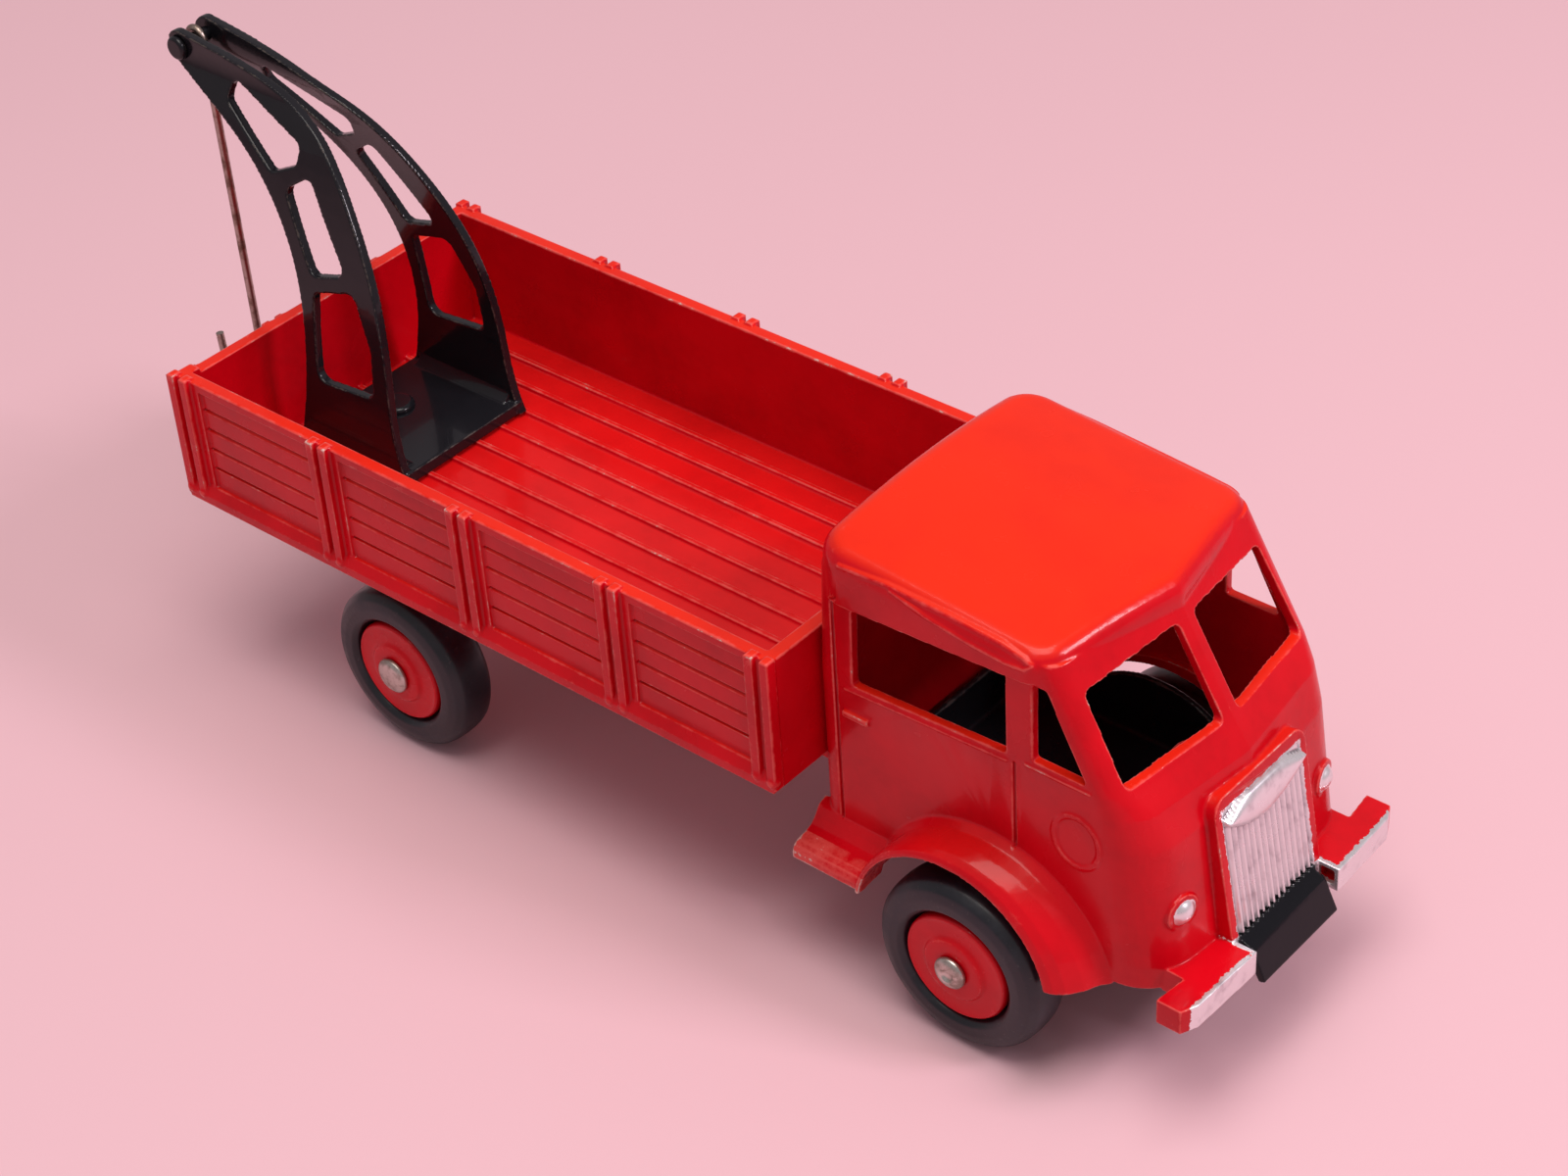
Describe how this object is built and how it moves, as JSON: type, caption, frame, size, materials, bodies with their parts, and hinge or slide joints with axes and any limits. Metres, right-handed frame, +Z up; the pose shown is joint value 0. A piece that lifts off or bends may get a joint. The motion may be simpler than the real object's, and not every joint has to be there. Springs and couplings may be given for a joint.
{
  "type": "toy tow truck",
  "caption": "Die-cast style toy breakdown lorry with a rounded cab, open panelled load bed and a fixed curved crane whose wire hook swings.",
  "frame": {"origin": "middle of the overall length and width, on the ground under the wheels", "axes": "+X towards the nose of the truck, +Y to its left side, +Z up"},
  "size_m": [0.128, 0.0388, 0.0559],
  "materials": {
    "red_enamel": "glossy enamel on a zinc casting",
    "black_enamel": "glossy black enamel",
    "black_tinplate": "satin black tinplate",
    "dull_steel": "dull drawn steel",
    "hub_enamel": "satin red enamel",
    "tyre_rubber": "smooth moulded rubber"
  },
  "bodies": {
    "truck": {"cab_casting": "red_enamel", "bed_casting": "red_enamel", "base_plate": "black_tinplate", "base_plate_rivets": "dull_steel", "crane_frame": "black_enamel", "crane_rivet": "black_enamel", "jib_pin": "black_enamel", "rear_axle": "dull_steel", "front_axle": "dull_steel"},
    "hook": {"tow_hook": "dull_steel"},
    "front_right_wheel": {"front_right_hub": "hub_enamel", "front_right_tyre": "tyre_rubber"},
    "front_left_wheel": {"front_left_hub": "hub_enamel", "front_left_tyre": "tyre_rubber"},
    "rear_right_wheel": {"rear_right_hub": "hub_enamel", "rear_right_tyre": "tyre_rubber"},
    "rear_left_wheel": {"rear_left_hub": "hub_enamel", "rear_left_tyre": "tyre_rubber"}
  },
  "joints": [
    {"name": "front_right_spin", "type": "hinge", "parent": "truck", "child": "front_right_wheel", "pos_m": [0.04274, -0.0157, 0.00825], "axis": [0, 1, 0], "continuous": true},
    {"name": "front_left_spin", "type": "hinge", "parent": "truck", "child": "front_left_wheel", "pos_m": [0.04274, 0.0157, 0.00825], "axis": [0, 1, 0], "continuous": true},
    {"name": "rear_right_spin", "type": "hinge", "parent": "truck", "child": "rear_right_wheel", "pos_m": [-0.02175, -0.0157, 0.00825], "axis": [0, 1, 0], "continuous": true},
    {"name": "rear_left_spin", "type": "hinge", "parent": "truck", "child": "rear_left_wheel", "pos_m": [-0.02175, 0.0157, 0.00825], "axis": [0, 1, 0], "continuous": true},
    {"name": "hook_swing", "type": "hinge", "parent": "truck", "child": "hook", "pos_m": [-0.05849, 0, 0.0543], "axis": [0, 1, 0], "range_deg": [-14, 100]}
  ]
}
